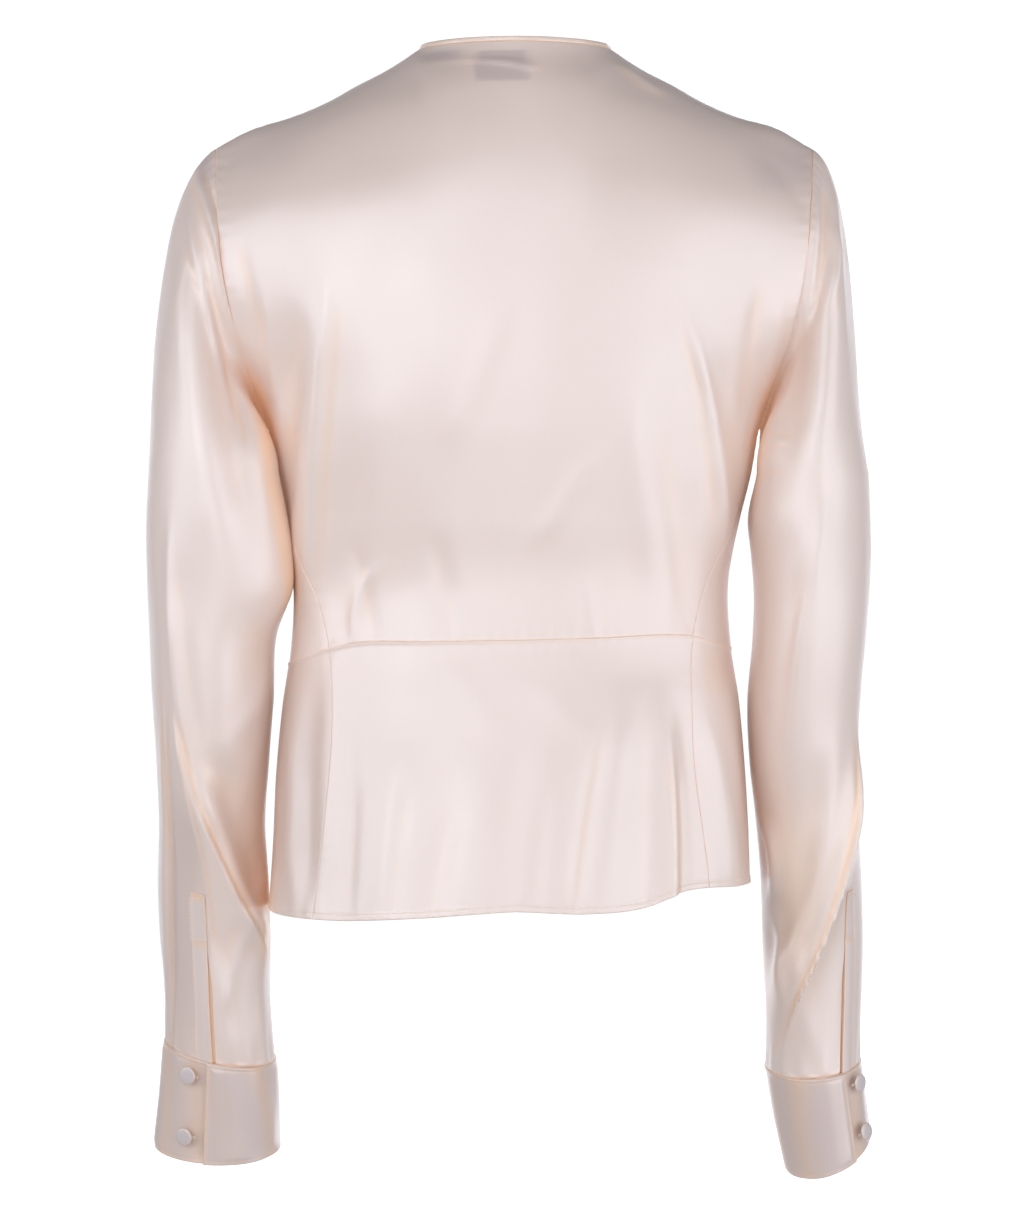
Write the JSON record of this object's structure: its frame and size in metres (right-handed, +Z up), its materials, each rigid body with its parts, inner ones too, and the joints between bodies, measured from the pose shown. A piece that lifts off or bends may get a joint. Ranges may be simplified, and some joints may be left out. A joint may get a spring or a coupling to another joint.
{
  "type": "silk blouse",
  "caption": "Fitted long-sleeved satin blouse, filled out as worn, with a bound neckline, a waist seam and flared peplum, boxed sleeve plackets and deep buttoned cuffs.",
  "frame": {"origin": "the centre of the neck opening, level with the points where the shoulder seams meet the neckline; the wearer's neck and shoulders hold the blouse there", "axes": "+Z up, +X towards the wearer's left, -Y towards the wearer's front"},
  "size_m": [0.4672, 0.2354, 0.7262],
  "materials": {
    "satin": "silk satin, pale nude pink, soft sheen",
    "button_satin": "buttons covered in the same silk satin",
    "label_tape": "plain woven tape, blank"
  },
  "bodies": {
    "root": {"back_bodice": "satin", "front_bodice": "satin", "back_peplum": "satin", "front_peplum": "satin", "sleeve_left": "satin", "sleeve_right": "satin", "cuff_left": "satin", "cuff_right": "satin", "placket_left": "satin", "placket_right": "satin", "neck_binding": "satin", "button_left_upper": "button_satin", "button_left_lower": "button_satin", "button_right_upper": "button_satin", "button_right_lower": "button_satin", "neck_label": "label_tape"}
  },
  "joints": []
}
